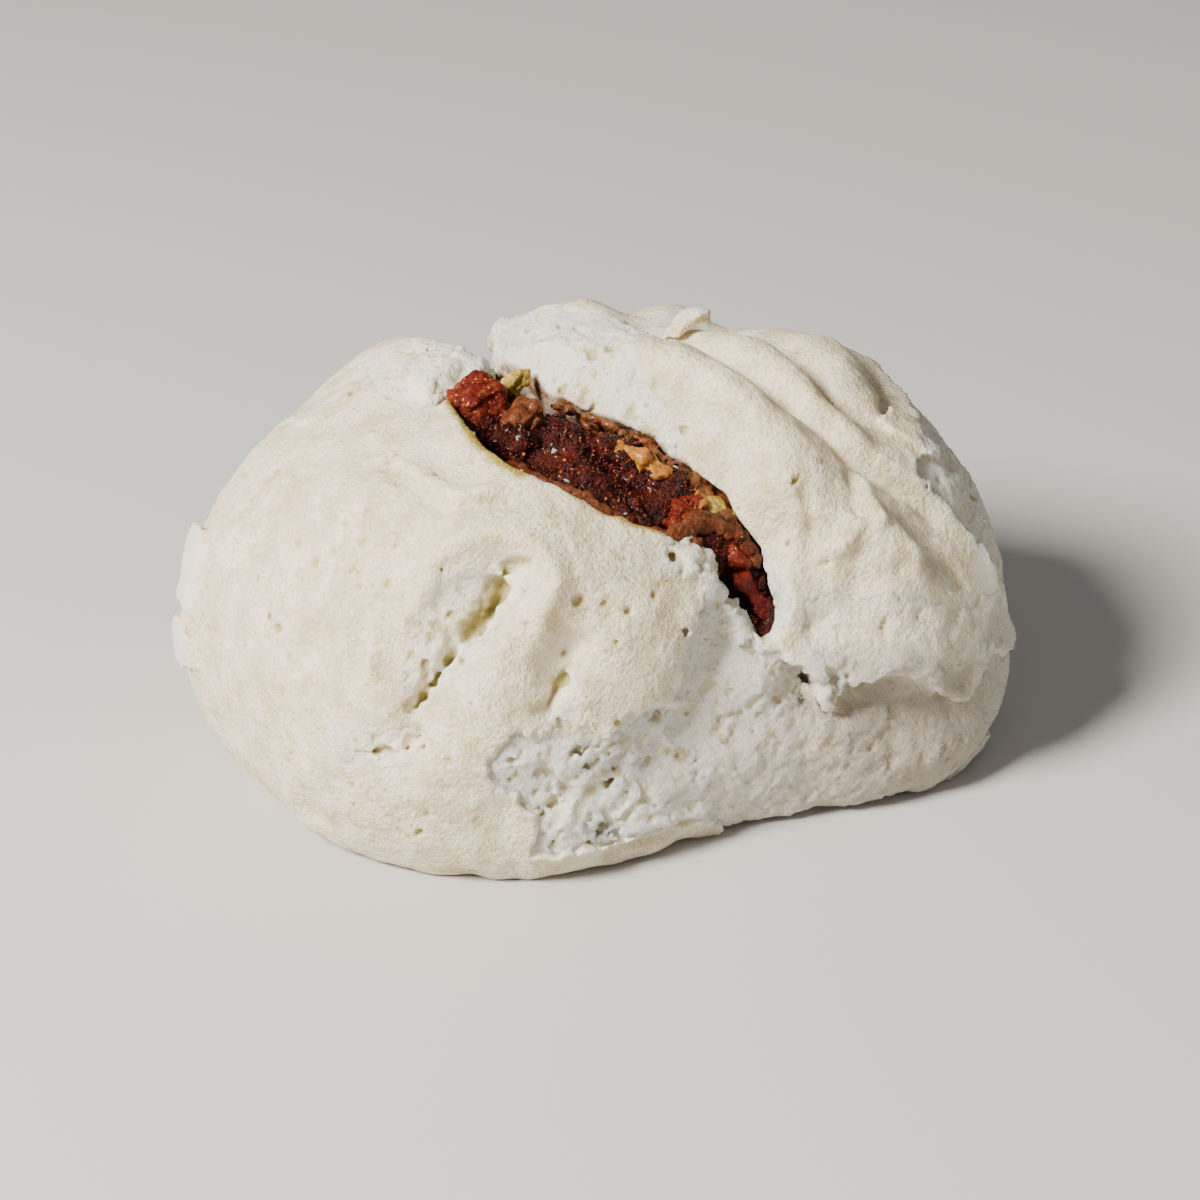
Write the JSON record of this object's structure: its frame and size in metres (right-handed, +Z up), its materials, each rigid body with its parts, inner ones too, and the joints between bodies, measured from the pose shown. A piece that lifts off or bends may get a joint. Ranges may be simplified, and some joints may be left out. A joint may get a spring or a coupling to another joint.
{
  "type": "char siu bao bun",
  "caption": "Steamed barbecue-pork bun torn open across the top: a domed white dough body with pleats and ragged crumb, and glossy dark red pork filling showing along the tear.",
  "frame": {"origin": "middle of the flat underside, at the bottom centre of the bounding box", "axes": "+Z up from the table, +X along the widest way of the bun, -Y towards the side where the dough tore away"},
  "size_m": [0.0898, 0.0734, 0.0477],
  "materials": {
    "dough": "soft matte steamed dough skin with torn crumb",
    "filling": "wet glossy sauce on diced roast pork"
  },
  "bodies": {
    "root": {"dough": "dough", "filling": "filling"}
  },
  "joints": []
}
